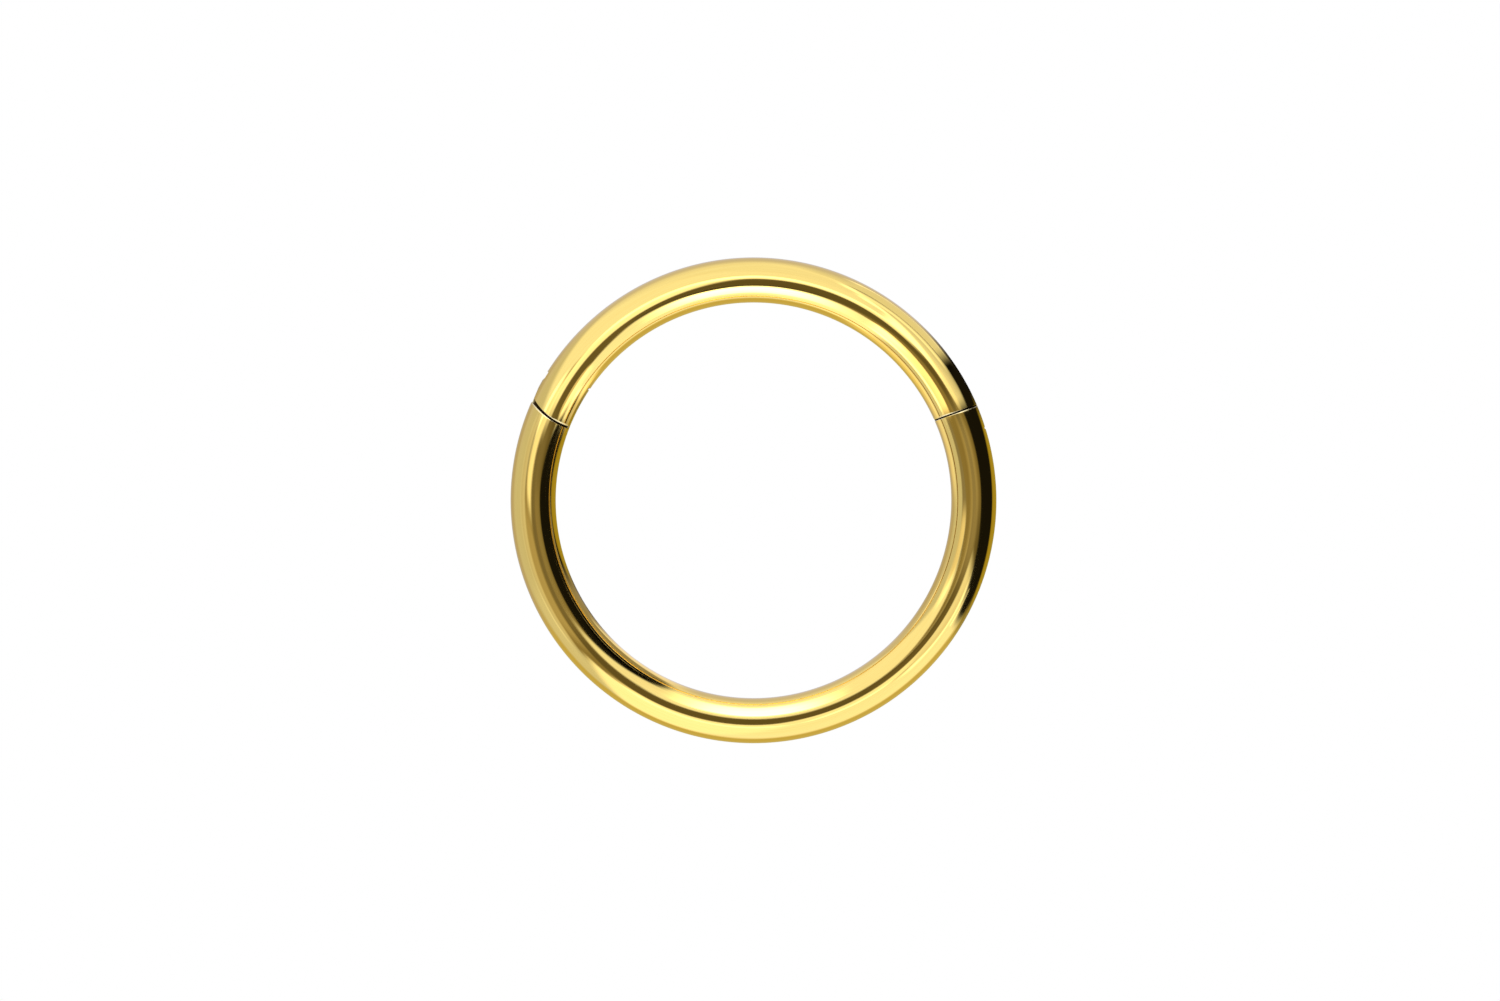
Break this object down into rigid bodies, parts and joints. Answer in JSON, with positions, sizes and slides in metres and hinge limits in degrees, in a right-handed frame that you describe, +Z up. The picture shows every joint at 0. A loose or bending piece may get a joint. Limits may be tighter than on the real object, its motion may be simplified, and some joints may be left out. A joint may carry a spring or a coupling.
{
  "type": "hinged segment clicker ring",
  "caption": "Plain polished gold ring of round wire for a piercing; a hinged upper segment swings out on a pin and clicks shut on a tongue.",
  "frame": {"origin": "middle of the ring, on the surface that it lies on", "axes": "+Z up along the ring's axis, out of the face that the picture shows; +Y towards the top of the picture, where the segment is; +X towards the clasp side"},
  "size_m": [0.0172, 0.0172, 0.0016],
  "materials": {
    "gold_body": "polished",
    "gold_segment": "polished",
    "gold_pin": "polished"
  },
  "bodies": {
    "hoop": {"ring_body": "gold_body"},
    "segment": {"hinged_segment": "gold_segment", "hinge_pin": "gold_pin"}
  },
  "joints": [
    {"name": "segment_hinge", "type": "hinge", "parent": "hoop", "child": "segment", "pos_m": [-0.00712, 0.00387, 0.0008], "axis": [0, 0, 1], "range_deg": [0, 90]}
  ]
}
